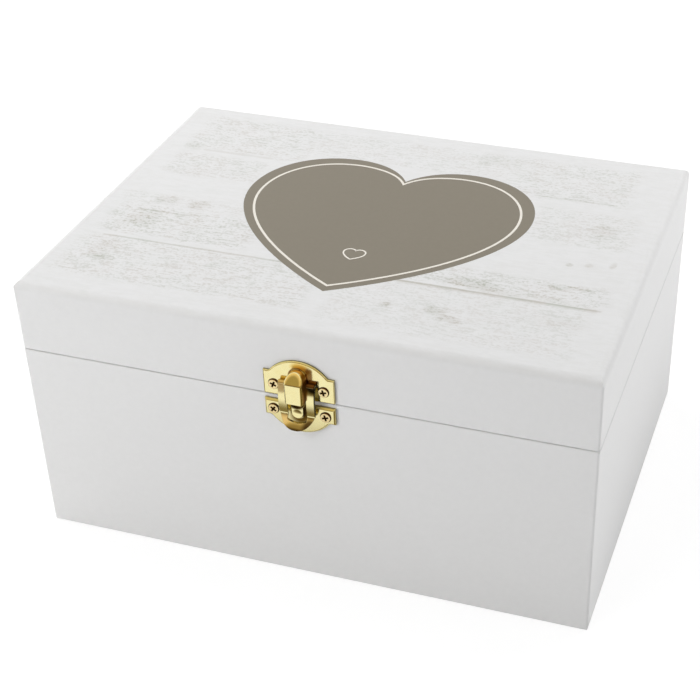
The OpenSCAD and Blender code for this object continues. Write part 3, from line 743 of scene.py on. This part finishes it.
def plateAreas(tree, source):
    # the plates' painted reflections, highlights and shade, each as (mask, colour, matt)
    facts = platePaintedLight
    normal = addNode(tree, "ShaderNodeSeparateXYZ", {0: source["Normal"]}).outputs
    place = onCatch(tree, source["Object"])
    across, up, out = addNode(tree, "ShaderNodeSeparateXYZ", {0: place}).outputs
    onPlate = softMask(tree, (out, *facts["plateOut"]))
    onLid = softMask(tree, (up, *facts["lidUp"]))
    raised, onBase = (addNode(tree, "ShaderNodeMath", {0: 1.0, 1: mask}, operation="SUBTRACT")
                      for mask in (onPlate, onLid))
    wall = softMask(tree, (squareTo(tree, source, "Y"), *facts["wallNormal"]))
    facesUp = softMask(tree, (normal["Z"], *facts["upNormal"]))
    slope = softMask(tree, facesUp, (normal["Z"], *facts["slopeNormal"]))
    # distance from the middle of the hood's round top: length(across, max(up - middle, 0))
    half, middle = facts["hood"]
    over = addNode(tree, "ShaderNodeMath", {0: up, 1: middle}, operation="SUBTRACT")
    above = addNode(tree, "ShaderNodeMath", {0: over, 1: 0.0}, operation="MAXIMUM")
    fromHood = addNode(tree, "ShaderNodeCombineXYZ", {0: across, 1: above})
    far = addNode(tree, "ShaderNodeVectorMath", {0: fromHood}, operation="LENGTH")
    onFacet, nearHood, pastHood = (softMask(tree, (far, *(half + reach for reach in facts[name])))
                                   for name in ("facetReach", "creaseReach", "rimReach"))
    glow, under, noseTop, crescent = (softMask(tree, softSpot(tree, place, spot), strength)
                                      for spot, strength in facts["spots"])
    noseSide = (squareTo(tree, source, "X"), *facts["sideNormal"])
    return [
        (softMask(tree, glow, onPlate, onLid), facts["glow"], True),
        (softMask(tree, nearHood, onPlate, (up, *facts["creaseUp"])), facts["crease"], False),
        (softMask(tree, under, onPlate, onBase), facts["under"], True),
        (softMask(tree, slope, onPlate), facts["bevel"], True),
        (softMask(tree, slope, raised, onLid, onFacet), facts["facet"], False),
        (softMask(tree, (normal["X"], *facts["cornerNormal"]), raised, onLid), facts["corner"], False),
        (softMask(tree, wall, onPlate, pastHood), facts["rim"], True),
        (softMask(tree, wall, onPlate, facesUp, onLid, pastHood), facts["lidRimTop"], True),
        (softMask(tree, wall, onPlate, facesUp, onBase), facts["baseRimTop"], True),
        (softMask(tree, wall, raised), facts["hoodWall"], True),
        (softMask(tree, wall, raised, (normal["Z"], *facts["topNormal"])), facts["hoodTop"], False),
        (softMask(tree, crescent, raised, onBase), facts["crescent"], False),
        (softMask(tree, noseTop, raised, onBase), facts["noseTop"], True),
        (softMask(tree, noseSide, raised, onBase), facts["noseWall"], True),
    ]


haspPaintedLight = {
    "side": "#100802",         # painted dark reflection and shade on the hasp's own thin sides, and along the right band's outer edge
    "sideNormal": (0.70, 0.95),   # how squarely a side looks sideways
    "edge": (8.5, 8.95),       # mm across, where that dark edge begins and is whole
    "edgeShare": 0.9,
    "eye": "#D8C07C",          # painted reflection on the tops of the eyes round the pin, and a darker one on the right eye
    "rightEye": "#6E4A22",
    "eyeUp": (9.9, 10.7),      # mm above the seam
    "rightEyeFrom": (3.0, 5.0),   # mm across
    # painted reflections and highlights on the bands and the lip: (mm across, mm above the seam, half sizes
    # in mm), colour, strength, whether it is matt
    "spots": (
        ((8.2, 9.6, 5.2, 3.8), "#1C0E02", 0.98, False),
        ((-8.0, 9.0, 5.5, 5.0), "#F0D8A0", 1.00, True),
        ((0.3, -12.0, 11.0, 4.0), "#8C7E4C", 0.90, False),
        ((6.8, -10.2, 5.2, 4.2), "#38240A", 0.92, False),
        ((-6.6, -8.6, 4.0, 3.0), "#F6E6B4", 0.90, True),
    ),
}


def haspAreas(tree, source):
    # the hasp's painted reflections, highlights and shade, each as (mask, colour, matt)
    facts = haspPaintedLight
    place = onCatch(tree, source["Object"])
    axes = addNode(tree, "ShaderNodeSeparateXYZ", {0: place}).outputs
    areas = [(softMask(tree, softSpot(tree, place, spot), strength), colour, matt)
             for spot, colour, strength, matt in facts["spots"]]
    eye = softMask(tree, (axes["Y"], *facts["eyeUp"]))
    rightEye = softMask(tree, eye, (axes["X"], *facts["rightEyeFrom"]))
    side = softMask(tree, (squareTo(tree, source, "X"), *facts["sideNormal"]))
    edge = softMask(tree, (axes["X"], *facts["edge"]), facts["edgeShare"])
    return areas + [(eye, facts["eye"], False), (rightEye, facts["rightEye"], True),
                    (side, facts["side"], True), (edge, facts["side"], False)]


screwPaintedLight = {
    "wall": "#4A2E12",           # painted dark reflection on the heads' rounded rims
    "wallNormal": (0.88, 0.60),  # how squarely a rim looks to the front
}


def screwAreas(tree, source):
    wall = softMask(tree, (squareTo(tree, source, "Y"), *screwPaintedLight["wallNormal"]))
    return [(wall, screwPaintedLight["wall"], True)]


plateBrass = platedBrass("polishedBrassPlate", brass, plateAreas)
haspBrass = platedBrass("polishedBrassHasp", brass, haspAreas)
screwFacts = dict(brass, colour="#FAE8B6", deep="#F2D8A0", cloud=1.5, roughness=0.20, ripple=0.8)
screwBrass = platedBrass("tumbledBrassScrew", screwFacts, screwAreas)
# the crosses in the screws' heads: a dark brown that is partly the thin plating there and partly painted
# shade in the recesses
recessFacts = dict(brass, colour="#4A300E", deep="#301E06", cloud=0.8, roughness=0.55)
recessBrass = platedBrass("darkScrewRecess", recessFacts)
hingeFacts = dict(brass, colour="#F0E4B8", deep="#E8D8A0", cloud=6.0, roughness=0.24)
hingeBrass = platedBrass("brushedBrassHinge", hingeFacts)
print("brass:", ", ".join(m.name for m in (plateBrass, haspBrass, screwBrass, recessBrass, hingeBrass)))


# The catch's castings: each CAD node's own shape, with its edges rounded off
castings = {
    # node: name, rounding in mm
    "catch_lid_plate": ("lidPlateCasting", 0.22),
    "catch_base_plate": ("basePlateCasting", 0.22),
    "catch_hasp": ("haspPressing", 0.18),
    "catch_lid_screws": ("lidScrewHeads", 0.14),
    "catch_base_screws": ("baseScrewHeads", 0.14),
}
rounding = {
    "weld": 0.002,         # mm: points closer than this are one
    "flat": 0.6,           # degrees: faces closer than this are one
    "sharp": 30,           # degrees from which an edge is rounded
    "shade": 35,           # degrees from which an edge stays sharp in the shading
    "slope": 0.5,          # mm, the wider rounding round the hood's slope
    "slopeNormal": (0, -0.7071, 0.7071),
    "slopeMatch": 0.999,   # cosine from which a face lies as the slope does
    "slopeArea": 2e-5,     # square metres from which it is the slope
    "segments": 2,
}
recess = {
    "headRadius": 2.9,       # mm
    "topShare": 0.62,        # the cross ends at this share of the head's radius
    "depth": (0.03, 0.84),   # mm behind the head's foremost point, where the cross lies
}
bodyOf = {name: body for body, names in frame["record"]["behaviour"]["bodies"].items() for name in names}


def roundedCopy(source, name, width, facts):
    # merges the node's loose triangles, joins those that lie in one plane and rounds the sharp
    # edges, more so round the hood's sloping facet
    way = Vector(facts["slopeNormal"])
    work = bmesh.new()
    work.from_mesh(nodes[source].data)
    bmesh.ops.remove_doubles(work, verts=work.verts, dist=facts["weld"] * mm)
    bmesh.ops.dissolve_limit(work, angle_limit=np.radians(facts["flat"]), verts=work.verts, edges=work.edges)
    bmesh.ops.recalc_face_normals(work, faces=work.faces)
    weight = work.edges.layers.float.new("bevel_weight_edge")
    for edge in work.edges:
        if len(edge.link_faces) == 2 and edge.calc_face_angle(0) > np.radians(facts["sharp"]):
            onSlope = any(face.normal.dot(way) > facts["slopeMatch"] and face.calc_area() > facts["slopeArea"]
                          for face in edge.link_faces)
            edge[weight] = 1.0 if onSlope else width / facts["slope"]
    for face in work.faces:
        face.smooth = True
    mesh = bpy.data.meshes.new(name)
    work.to_mesh(mesh)
    work.free()
    mesh.set_sharp_from_angle(angle=np.radians(facts["shade"]))
    piece = bpy.data.objects.new(name, mesh)
    bpy.context.scene.collection.objects.link(piece)
    bevel = piece.modifiers.new("roundedEdges", "BEVEL")
    bevel.width = facts["slope"] * mm
    bevel.segments = facts["segments"]
    bevel.limit_method = "WEIGHT"
    bevel.use_clamp_overlap = False
    even = piece.modifiers.new("evenShading", "WEIGHTED_NORMAL")
    even.keep_sharp = True
    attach(piece, bodyOf[source])
    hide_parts(source)
    return piece


def darkenRecesses(piece, facts):
    # gives the faces of the crosses in the screws' heads the second material, the dark one with painted shade
    mesh = piece.data
    centres = np.empty(len(mesh.polygons) * 3)
    mesh.polygons.foreach_get("center", centres)
    centres = centres.reshape(-1, 3)
    points = np.array([list(corner) for corner in piece.bound_box])
    low, high = points.min(axis=0), points.max(axis=0)
    middleZ = (low[2] + high[2]) / 2
    behind = centres[:, 1] - low[1]
    radius = facts["headRadius"] * mm
    away = np.minimum(*(np.hypot(centres[:, 0] - at, centres[:, 2] - middleZ)
                        for at in (low[0] + radius, high[0] - radius)))
    front, back = facts["depth"]
    inside = (behind > front * mm) & (behind < back * mm) & (away < facts["topShare"] * radius)
    mesh.polygons.foreach_set("material_index", inside.astype(np.int32))
    mesh.update()
    return int(inside.sum())


for source, (name, width) in castings.items():
    piece = roundedCopy(source, name, width, rounding)
    if "screws" in source:
        piece.data.materials.append(screwBrass)
        piece.data.materials.append(recessBrass)
        print(name, "recess faces", darkenRecesses(piece, recess))
    else:
        piece.data.materials.append(haspBrass if source == "catch_hasp" else plateBrass)
    print(name, len(piece.data.polygons), "faces")

# Materials of the nodes that stay as they are
for name, piece in nodes.items():
    piece.data.materials.clear()
    if name == "lid_top_panel":
        piece.data.materials.append(plankPrint)
    elif "hinge" in name or name == "catch_hasp_pin":
        piece.data.materials.append(hingeBrass)
    elif "catch" in name:
        piece.data.materials.append(plateBrass)
    else:
        piece.data.materials.append(satinWhite)
print("nodes:", len(nodes), "with their materials")
